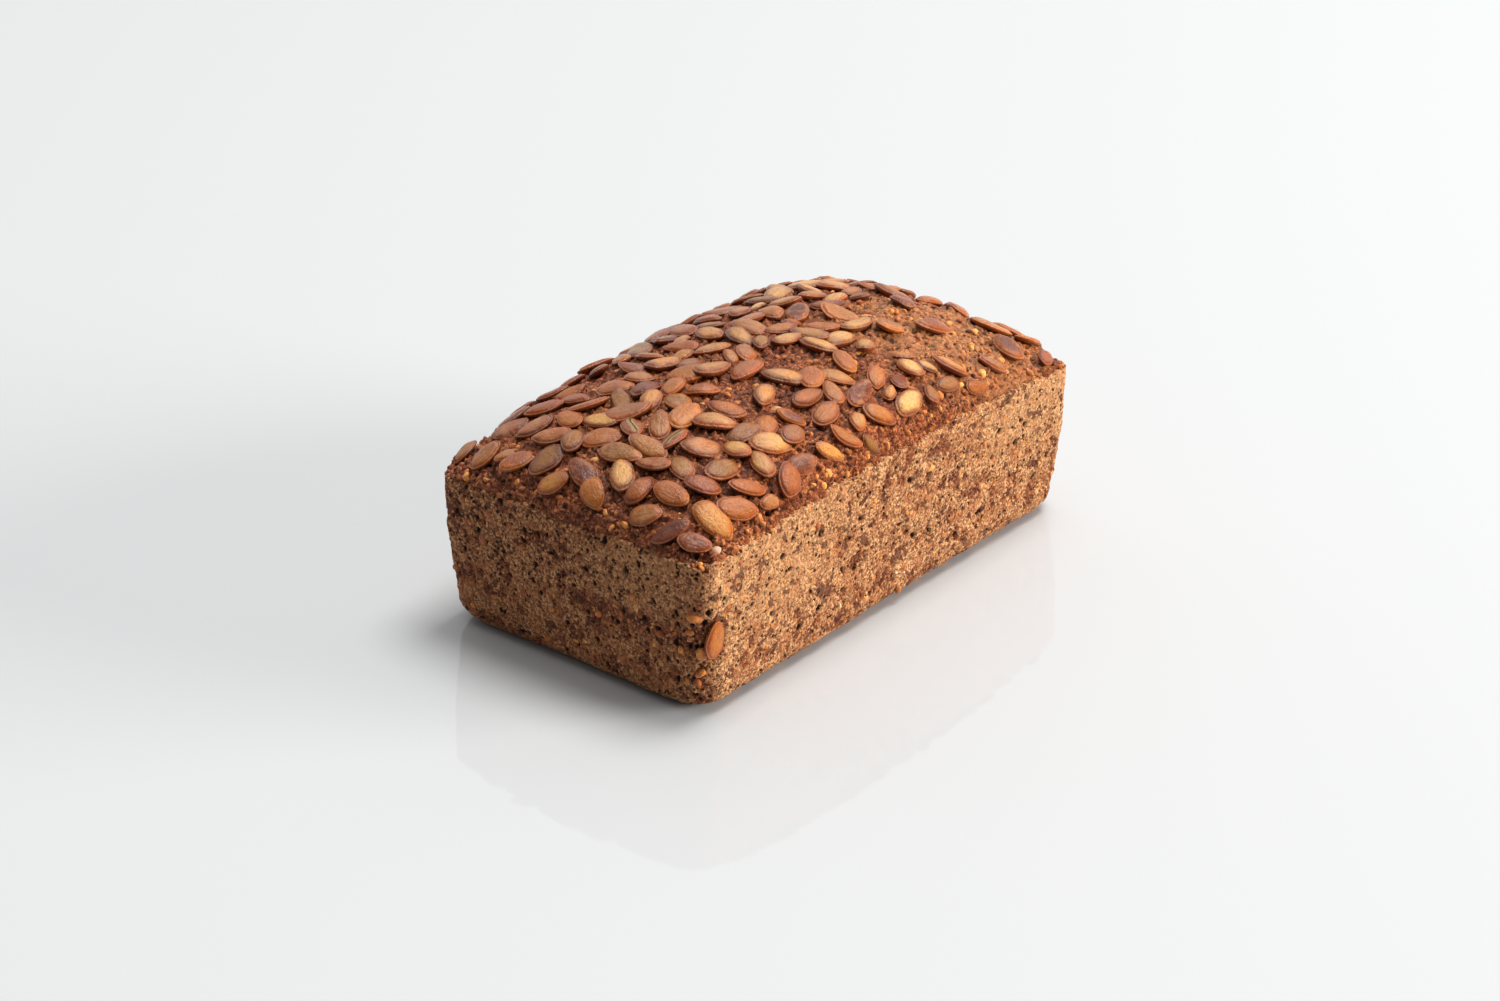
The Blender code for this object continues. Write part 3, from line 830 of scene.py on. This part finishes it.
def side_kernel_matrix():
    """Lays the side kernel in the -Y wall, nearly upright; its height is that above the table."""
    height = SIDE_KERNEL.height
    stood_up = Matrix.Rotation(math.pi / 2, 4, "X") @ Matrix.Rotation(SIDE_KERNEL.turn, 4, "Z")
    return Matrix.Translation((SIDE_KERNEL.x, 0.0001 - half_sizes(height)[1], height)) @ stood_up


def sunk_kernels(pile):
    """Smaller kernels that lie deep in the dough, in the gaps that the others leave."""
    draw = random.Random(SUNK_DRAW)
    half_x, half_y = half_sizes(RIM_Z)
    found = []
    while len(found) < SUNK_COUNT:
        size = draw.uniform(SUNK_SMALLEST, SUNK_LARGEST)
        x, y = draw.uniform(-half_x, half_x), draw.uniform(-half_y, half_y)
        turn = draw.uniform(0.0, 2.0 * math.pi)
        lean_x, lean_y = draw.gauss(0.0, SUNK_LEAN), draw.gauss(0.0, SUNK_LEAN)
        kernel = Kernel(x, y, turn, KERNEL_LENGTH * size, KERNEL_WIDTH * size, KERNEL_THICKNESS * 0.85,
                        SUNK_HEIGHT, lean_x, lean_y)
        u, v = off_plan(x, y, half_x, half_y, CORNER_RADIUS_RIM)
        covered = sum(pile.at(*point) > 0.0 for point in footprint(x, y, turn, kernel.length, kernel.width))
        if least_gap(x, y) == BARE_GAP or max(abs(u), abs(v)) > EDGE_LIMIT:
            continue
        if covered <= 2 and inside_walls(kernel):
            pile.add(kernel._replace(height=0.0))
            found.append(kernel)
    return found


GRAIN_AROUND = 9
GRAIN_RINGS = 5


def grain_points(length, width, thickness, draw):
    """A small rounded grain in its own frame."""
    turns = 2.0 * math.pi * np.arange(GRAIN_AROUND) / GRAIN_AROUND
    points = [[0.0, 0.0, 1.0]]
    for polar in math.pi * np.arange(1, GRAIN_RINGS + 1) / (GRAIN_RINGS + 1):
        out = math.sin(polar)
        points += [[out * math.cos(turn), out * math.sin(turn), math.cos(polar)] for turn in turns]
    points.append([0.0, 0.0, -1.0])
    points = np.array(points) * (length / 2, width / 2, thickness / 2)
    return points * (1.0 + 0.34 * field(points, length * 0.45, draw.uniform(0.0, 90.0)))[:, None]


def grain_matrix(place, normal, draw):
    """Turns a grain's upright to the surface, with a random heading."""
    up = Vector(normal).normalized()
    heading = Vector([draw.gauss(0.0, 1.0) for _ in range(3)])
    forward = (heading - up * heading.dot(up)).normalized()
    return Matrix.Translation(place) @ Matrix((forward, up.cross(forward), up)).transposed().to_4x4()


def surface_spots(name, count, draw, wanted):
    """Spots on a finished piece where a grain is wanted: its place and the surface's direction there."""
    mesh = bpy.data.objects[name].data
    points, normals = read_vectors(mesh.vertices, "co"), read_vectors(mesh.vertex_normals, "vector")
    spots = []
    while len(spots) < count:
        number = draw.randrange(len(points))
        if wanted(points[number], normals[number]):
            spots.append((points[number], normals[number]))
    return spots


def small_grains(pile, material):
    """Round baked grains: strewn on the top between the kernels, and set flush in the walls."""
    draw = random.Random(GRAIN_DRAW)
    joined, faces = Joined(), ball_faces(GRAIN_RINGS, GRAIN_AROUND)

    def on_top(place, normal):
        free = pile.at(place[0], place[1]) == 0.0 and normal[2] > 0.3
        return free and (draw.random() < 0.4 or place[2] < 0.061 or least_gap(place[0], place[1]) == BARE_GAP)

    def on_wall(place, normal):
        half_x, half_y = half_sizes(place[2])
        outside = abs(place[0]) > half_x - 0.003 or abs(place[1]) > half_y - 0.003
        return outside and 0.003 < place[2] < RIM_Z - 0.002

    def add(place, normal, length, sunk, tone, pale):
        width, thickness = length * draw.uniform(0.56, 0.88), length * draw.uniform(0.50, 0.75)
        matrix = grain_matrix(Vector(place) - Vector(normal) * (sunk + thickness * 0.1), normal, draw)
        points = grain_points(length, width, thickness, draw)
        joined.add(placed(points, matrix), faces, tone=tone, pale=pale)

    for name, count, wanted, sunk in (
        ("crust_cap", TOP_GRAIN_COUNT, on_top, 0.0),
        ("crust_walls_near", WALL_GRAIN_COUNT, on_wall, SET_IN_WALL),
        ("crust_walls_far", WALL_GRAIN_COUNT, on_wall, SET_IN_WALL),
    ):
        for place, normal in surface_spots(name, count, draw, wanted):
            length = min(max(draw.gauss(GRAIN_LENGTH, GRAIN_SPREAD), SHORTEST_GRAIN), LONGEST_GRAIN)
            add(place, normal, length, sunk, draw.random(), 0.0)
    for x, z, length, tone, pale in LONG_SIDE_GRAINS:
        add((x, -half_sizes(z)[1], z), (0.0, -1.0, 0.0), length, 0.0003, tone, pale)
    for y, z, length, tone, pale in END_GRAINS:
        place, normal = end_spot(y, z)
        add(place, normal, length, 0.0001, tone, pale)
    for x, y, length, tone, pale in TOP_GRAINS:
        matrix = kernel_matrix(Kernel(x, y, 0.0, length, length, length))
        add(matrix.translation, matrix.col[2].to_3d(), length, 0.0006, tone, pale)
    add_piece("small_grains", joined.mesh("small_grains"), material)


def end_spot(y, z):
    """A place on the near end, taken round its upright corners, and the outward direction there."""
    half_x, half_y = half_sizes(z)
    radius = corner_radius(z)
    over = max(abs(y) - (half_y - radius), 0.0) / radius
    out = -math.sqrt(1.0 - over * over)
    return (radius * (1.0 + out) - half_x, y, z), (out, math.copysign(over, y), 0.0)


def crumb_grit(material):
    """Small loose-looking lumps of crumb all over the top."""
    draw = random.Random(GRIT_DRAW)
    joined, faces = Joined(), ball_faces(2, 6)
    unit = [[0.0, 0.0, 1.0]]
    for lift in (0.5, -0.5):
        unit += [[math.cos(turn + lift) * 0.87, math.sin(turn + lift) * 0.87, lift]
                 for turn in np.arange(6) * math.pi / 3]
    unit.append([0.0, 0.0, -1.0])
    for place, normal in surface_spots("crust_cap", GRIT_COUNT, draw, lambda place, normal: normal[2] > 0.2):
        size = draw.uniform(GRIT_SMALLEST, GRIT_LARGEST)
        stretch = np.array([draw.uniform(0.6, 2.2), draw.uniform(0.6, 1.3), draw.uniform(0.5, 1.0)])
        matrix = grain_matrix(Vector(place - normal * size * 0.35), normal, draw)
        joined.add(placed(unit * stretch * size, matrix), faces, tone=draw.random())
    add_piece("crumb_grit", joined.mesh("crumb_grit"), material)


# Materials

def rgb(red, green, blue):
    """A colour given as it shows on a screen, from 0 to 255, in the linear values that a shader takes."""
    values = [part / 255.0 for part in (red, green, blue)]
    return (*(part / 12.92 if part <= 0.04045 else ((part + 0.055) / 1.055) ** 2.4 for part in values), 1.0)


class Nodes:
    """A tree of shader nodes in the making."""

    def __init__(self, tree):
        self.tree = tree

    def add(self, kind, inputs, **settings):
        """Adds a node, with values or links for its sockets."""
        made = self.tree.nodes.new(kind)
        for key, value in settings.items():
            setattr(made, key, value)
        for key, value in inputs.items():
            if isinstance(value, bpy.types.NodeSocket):
                self.tree.links.new(value, made.inputs[key])
            else:
                made.inputs[key].default_value = value
        return made

    def spread(self, value, low, high, to_low=0.0, to_high=1.0):
        """Maps a range to another one smoothly."""
        ends = {"From Min": low, "From Max": high, "To Min": to_low, "To Max": to_high}
        made = self.add("ShaderNodeMapRange", {"Value": value, **ends}, interpolation_type="SMOOTHSTEP")
        return made.outputs["Result"]

    def reckon(self, operation, first, second=0.0):
        return self.add("ShaderNodeMath", {0: first, 1: second}, operation=operation).outputs[0]

    def times(self, first, second):
        return self.reckon("MULTIPLY", first, second)

    def apart(self, first, second):
        return self.reckon("ABSOLUTE", self.reckon("SUBTRACT", first, second))


class Look(Nodes):
    """A material in the making, whose colour is laid on layer by layer."""

    def __init__(self, name, roughness, specular):
        self.material = bpy.data.materials.new(name)
        self.material.use_nodes = True
        super().__init__(self.material.node_tree)
        self.shader = self.tree.nodes["Principled BSDF"]
        self.shader.inputs["Roughness"].default_value = roughness
        self.shader.inputs["Specular IOR Level"].default_value = specular
        self.colour = None

    def place(self):
        return self.add("ShaderNodeTexCoord", {}).outputs["Object"]

    def read(self, name):
        """A number that the mesh gives at every point."""
        return self.add("ShaderNodeAttribute", {}, attribute_name=name).outputs["Fac"]

    def speckle(self, place, size, detail=2.0, roughness=0.55, distortion=0.0):
        """Noise from 0 to 1 with lumps of this size in metres."""
        kind = {"Detail": detail, "Roughness": roughness, "Distortion": distortion}
        return self.add("ShaderNodeTexNoise", {"Vector": place, "Scale": 1.0 / size, **kind}).outputs["Fac"]

    def spots(self, place, size, share, radius=0.42):
        """Soft round spots in this share of cells of this size; the radius is a share of the size."""
        made = self.add("ShaderNodeTexVoronoi", {"Vector": place, "Scale": 1.0 / size})
        chosen = self.add("ShaderNodeSeparateColor", {"Color": made.outputs["Color"]}).outputs["Red"]
        near = self.spread(made.outputs["Distance"], radius, radius * 0.6)
        return self.times(near, self.spread(chosen, 1.0 - share, 1.02 - share))

    def ramp(self, value, *stops):
        """Colours at shares of the way from 0 to 1: each stop has its share and its colour."""
        made = self.add("ShaderNodeValToRGB", {"Fac": value})
        elements = made.color_ramp.elements
        while len(elements) < len(stops):
            elements.new(0.5)
        for element, (position, *colour) in zip(elements, stops):
            element.position = position
            element.color = rgb(*colour)
        return made.outputs["Color"]

    def tinge(self, share, strength, colour):
        """Lays a colour over what is there, by a share of this strength at most."""
        over = colour if isinstance(colour, bpy.types.NodeSocket) else rgb(*colour)
        inputs = {0: self.times(share, strength), 6: self.colour, 7: over}
        self.colour = self.add("ShaderNodeMix", inputs, data_type="RGBA").outputs[2]

    def tinge_from(self, value, low, high, strength, colour):
        """Lays a colour over what is there, more and more from where the value is low to where it is high."""
        self.tinge(self.spread(value, low, high), strength, colour)

    def finish(self, height, depth, roughness=None):
        """Gives the shader its colour, its relief and, where it varies, its roughness."""
        relief = self.add("ShaderNodeBump", {"Height": height, "Distance": depth, "Strength": 1.0})
        self.tree.links.new(relief.outputs["Normal"], self.shader.inputs["Normal"])
        self.tree.links.new(self.colour, self.shader.inputs["Base Color"])
        if roughness is not None:
            self.tree.links.new(roughness, self.shader.inputs["Roughness"])
        return self.material


def skin_material():
    """The fine, foamy skin that the tin's sides gave, with torn patches, pin-holes and pores."""
    look = Look("tinned_skin", roughness=0.80, specular=0.18)
    place = look.place()
    fine = look.speckle(place, 0.0010, 3.0, 0.75)
    look.colour = look.ramp(fine, (0.36, 86, 50, 32), (0.50, 156, 107, 71), (0.62, 213, 162, 113))
    warm, purple = look.speckle(place, 0.0060, 3.0), look.speckle(place, 0.0046, 3.0)
    look.tinge_from(warm, 0.46, 0.60, 0.5, (144, 85, 52))
    look.tinge(look.read("calm"), 0.3, (190, 143, 98))
    # Painted shade: both ends are tinged a darker, redder brown, the colour that an end in shade takes on.
    look.tinge(look.read("end_shade_tint"), 0.22, (134, 70, 42))
    crumb = look.ramp(fine, (0.36, 62, 32, 24), (0.50, 108, 59, 39), (0.66, 158, 95, 58))
    look.tinge(look.read("torn"), 0.9, crumb)
    look.tinge_from(purple, 0.59, 0.63, 0.75, (74, 36, 29))
    grey = look.speckle(place, 0.0052, 1.0)
    look.tinge_from(grey, 0.64, 0.72, 0.5, (98, 68, 54))
    look.tinge(look.spots(place, 0.0022, 0.20), 0.6, (200, 122, 62))
    look.tinge(look.spots(place, 0.0013, 0.30), 0.55, (214, 164, 112))
    # Painted shade: pin-holes and larger holes are painted as dark dots, the shade inside them; the relief
    # also dents them.
    pin, hole = look.spots(place, 0.0008, 0.50), look.spots(place, 0.0018, 0.18, 0.36)
    look.tinge(pin, 0.6, (70, 36, 22))
    look.tinge(hole, 0.9, (30, 14, 9))
    # Painted shade: the pits of the relief, in the walls and the base, are painted near black, the shade
    # inside them.
    look.tinge_from(look.read("pore"), 0.20, 0.80, 0.94, (26, 12, 8))
    height = look.reckon("SUBTRACT", fine, look.reckon("ADD", pin, hole))
    return look.finish(height, 0.00042)


def dough_material():
    """The dark, crumbly top between the kernels."""
    look = Look("top_crumb", roughness=0.6, specular=0.26)
    place = look.place()
    fine = look.speckle(place, 0.0011, 3.0, 0.75)
    look.colour = look.ramp(fine, (0.34, 50, 21, 12), (0.48, 105, 50, 26), (0.58, 142, 73, 36),
                            (0.72, 208, 132, 72))
    red, purple = look.speckle(place, 0.0044), look.speckle(place, 0.0036)
    look.tinge_from(red, 0.46, 0.60, 0.5, (118, 54, 28))
    look.tinge_from(purple, 0.56, 0.66, 0.38, (74, 36, 26))
    # Painted highlight: short pale streaks over the crumb, the glints on its fibres.
    highlight_wisps = look.speckle(place, 0.0030, 4.0, 0.7, 2.5)
    look.tinge_from(highlight_wisps, 0.54, 0.61, 0.5, (204, 132, 80))
    look.tinge(look.spots(place, 0.0017, 0.25), 0.6, (196, 122, 64))
    look.tinge(look.read("bare"), 0.32, (198, 142, 90))
    # Painted shade: the creases between the crumbs and the pores are painted dark, the shade that falls in
    # them.
    look.tinge_from(look.read("low"), 0.35, 1.0, 0.8, (40, 19, 15))
    look.tinge_from(look.read("pore"), 0.2, 0.9, 0.9, (24, 11, 9))
    return look.finish(fine, 0.0006, look.spread(fine, 0.35, 0.65, 0.75, 0.42))


def grit_material():
    look = Look("crumb_lump", roughness=0.55, specular=0.30)
    look.colour = look.ramp(look.read("tone"), (0.0, 70, 33, 20), (0.45, 112, 56, 30), (0.80, 146, 80, 42),
                            (1.0, 194, 124, 72))
    fine = look.speckle(look.place(), 0.0007, 3.0, 0.7)
    look.tinge_from(fine, 0.50, 0.36, 0.6, (64, 32, 24))
    return look.finish(fine, 0.0004)


def kernel_material():
    """Roasted pumpkin kernels, satin: golden to olive in the middle, orange-brown to red-brown round it."""
    look = Look("roasted_kernel", roughness=0.36, specular=0.40)
    edge, aside = look.read("edge"), look.read("aside")
    spot = look.times(look.read("spot"), 0.1)
    local = look.add("ShaderNodeCombineXYZ", {"X": look.read("along"), "Y": aside, "Z": spot}).outputs[0]
    look.colour = look.ramp(look.read("tone"), (0.0, 84, 32, 12), (0.3, 126, 55, 18), (0.6, 160, 77, 23),
                            (0.8, 128, 61, 23), (1.0, 184, 103, 36))
    middle = look.ramp(look.read("heart"), (0.00, 90, 37, 14), (0.18, 140, 67, 22), (0.36, 166, 95, 30),
                       (0.52, 120, 80, 30), (0.68, 192, 126, 52), (0.82, 138, 83, 42), (1.00, 214, 158, 86))
    patch = look.speckle(local, 0.0046)
    look.tinge_from(look.reckon("ADD", edge, look.times(patch, 0.9)), 1.45, 0.85, 1.0, middle)
    streaked = look.add("ShaderNodeMapping", {"Vector": local, "Scale": (0.35, 1.6, 1.0)}).outputs[0]
    streaks = look.speckle(streaked, 0.0020, 4.0, 0.65)
    look.tinge_from(streaks, 0.46, 0.66, 0.35, (112, 60, 32))
    mottled = look.speckle(local, 0.0009, 3.0, 0.7)
    look.tinge_from(mottled, 0.50, 0.36, 0.30, (96, 52, 30))
    bloom = look.times(look.spread(patch, 0.46, 0.62), look.spread(look.read("bloom"), 0.45, 1.0))
    look.tinge(bloom, 0.30, (188, 142, 102))
    # Painted shade: a dark line along the groove inside the kernel's margin.
    look.tinge_from(look.apart(edge, MARGIN_AT), 0.045, 0.0, 0.45, (88, 42, 24))
    # A paler line along the raised lip: partly the kernel's own colour, partly a painted highlight.
    look.tinge_from(look.apart(edge, LIP_AT), 0.035, 0.0, 0.35, (190, 120, 64))
    look.tinge_from(edge, 0.97, 1.0, 0.7, (92, 42, 22))
    wavy = look.reckon("ADD", aside, look.times(patch, 0.0024))
    beside = look.apart(wavy, 0.0012)
    opened = look.times(look.read("split"), look.spread(edge, 0.85, 0.6))
    look.tinge(look.times(opened, look.spread(beside, 0.0016, 0.0006)), 0.7, (160, 138, 88))
    # Painted shade: a dark line down the slit of a split kernel.
    slit = look.times(opened, look.spread(beside, 0.0004, 0.0))
    look.tinge(slit, 0.8, (84, 58, 36))
    height = look.reckon("ADD", streaks, look.reckon("SUBTRACT", mottled, look.times(slit, 2.0)))
    return look.finish(height, 0.00032, look.spread(patch, 0.35, 0.7, 0.22, 0.38))


def grain_material():
    look = Look("baked_grain", roughness=0.5, specular=0.45)
    place = look.place()
    look.colour = look.ramp(look.read("tone"), (0.0, 130, 66, 34), (0.4, 170, 92, 42), (0.75, 202, 124, 56),
                            (1.0, 230, 162, 82))
    look.tinge_from(look.speckle(place, 0.0014), 0.56, 0.38, 0.5, (120, 62, 36))
    look.tinge(look.read("pale"), 1.0, (208, 186, 160))
    return look.finish(look.speckle(place, 0.0006), 0.0002)


# The studio; each turn is about the upright, from -Y towards +X

FLOOR_HALF = 6.0
FLOOR_COLOUR = (0.492, 0.502, 0.511, 1.0)
FLOOR_POLISH = 0.078
KEY_DISTANCE = 3.0
KEY_LIFT = math.radians(12)
KEY_TURN = CAMERA_YAW + math.radians(85)
KEY_WIDE, KEY_HIGH = 2.0, 1.0
KEY_POWER = 163.0
TOP_DISTANCE = 4.0
TOP_LIFT = math.radians(71)
TOP_TURN = CAMERA_YAW + math.radians(125)
TOP_SIZE = 2.0
TOP_POWER = 150.0
LIT_SPOT = Vector((0.0, 0.0, 0.03))


def direction(turn, lift):
    """The way from the loaf to what stands at this turn and this lift."""
    return Vector((math.sin(turn) * math.cos(lift), -math.cos(turn) * math.cos(lift), math.sin(lift)))


def set_camera():
    data = bpy.data.cameras.new("camera")
    data.lens = FOCAL_LENGTH
    data.sensor_width = SENSOR_WIDTH
    data.clip_end = 30.0
    camera = new_object("camera", data)
    back = direction(CAMERA_YAW, CAMERA_PITCH)
    camera.location = CAMERA_TARGET + back * CAMERA_DISTANCE
    camera.rotation_euler = (-back).to_track_quat("-Z", "Y").to_euler()
    bpy.context.scene.camera = camera


def set_floor():
    """A pale floor with a faint polish, which shows only where it is seen from low down."""
    corners = [(x * FLOOR_HALF, y * FLOOR_HALF, 0.0) for x, y in ((-1, -1), (1, -1), (1, 1), (-1, 1))]
    mesh = new_mesh("floor", corners, [(0, 1, 2, 3)])
    look = Look("pale_floor", roughness=0.9, specular=0.0)
    look.shader.inputs["Base Color"].default_value = FLOOR_COLOUR
    polish = look.add("ShaderNodeBsdfAnisotropic", {"Roughness": 0.03})
    facing = look.add("ShaderNodeLayerWeight", {"Blend": 0.5}).outputs["Facing"]
    share = look.spread(facing, 0.25, 0.60, 0.0, FLOOR_POLISH)
    mixed = look.add("ShaderNodeMixShader", {0: share, 1: look.shader.outputs[0], 2: polish.outputs[0]})
    look.tree.links.new(mixed.outputs[0], look.tree.nodes["Material Output"].inputs["Surface"])
    mesh.materials.append(look.material)
    floor = new_object("floor", mesh)


def add_light(name, place, wide, high, power, colour, mirrored):
    data = bpy.data.lights.new(name, "AREA")
    data.shape = "ELLIPSE"
    data.size = wide
    data.size_y = high
    data.energy = power
    data.color = colour
    light = new_object(name, data)
    light.location = place
    light.rotation_euler = (LIT_SPOT - place).to_track_quat("-Z", "Y").to_euler()
    light.visible_glossy = mirrored


def set_lights():
    """A soft key from the right, and a lesser light high up behind the loaf."""
    key_place = direction(KEY_TURN, KEY_LIFT) * KEY_DISTANCE
    top_place = direction(TOP_TURN, TOP_LIFT) * TOP_DISTANCE
    add_light("key", key_place, KEY_WIDE, KEY_HIGH, KEY_POWER, (1.0, 0.97, 0.93), mirrored=False)
    add_light("top_light", top_place, TOP_SIZE, TOP_SIZE, TOP_POWER, (1.0, 0.99, 0.97), mirrored=True)


def set_surround():
    """A pale surround that is brightest behind the loaf and overhead."""
    world = bpy.data.worlds.new("surround")
    bpy.context.scene.world = world
    world.use_nodes = True
    nodes = Nodes(world.node_tree)
    seen = nodes.add("ShaderNodeTexCoord", {}).outputs["Generated"]
    away = tuple(-direction(CAMERA_YAW, 0.0))
    facing = nodes.add("ShaderNodeVectorMath", {0: seen, 1: away}, operation="DOT_PRODUCT")
    height = nodes.add("ShaderNodeSeparateXYZ", {"Vector": seen})
    behind = nodes.spread(facing.outputs["Value"], 0.15, 0.65, 0.20, 1.06)
    overhead = nodes.spread(height.outputs["Z"], 0.80, 0.95, 0.0, 1.2)
    surround = nodes.tree.nodes["Background"]
    surround.inputs["Color"].default_value = (1.0, 1.0, 1.0, 1.0)
    nodes.tree.links.new(nodes.reckon("MAXIMUM", behind, overhead), surround.inputs["Strength"])


def main():
    bpy.context.scene.view_settings.view_transform = "Standard"
    set_camera()
    set_floor()
    set_lights()
    set_surround()
    kernels, pile = strew_kernels()
    kernels += sunk_kernels(pile)
    skin = skin_material()
    crust_walls(skin)
    crust_cap(pile, dough_material())
    crust_base(skin)
    pumpkin_kernels(kernels, kernel_material())
    small_grains(pile, grain_material())
    crumb_grit(grit_material())


main()
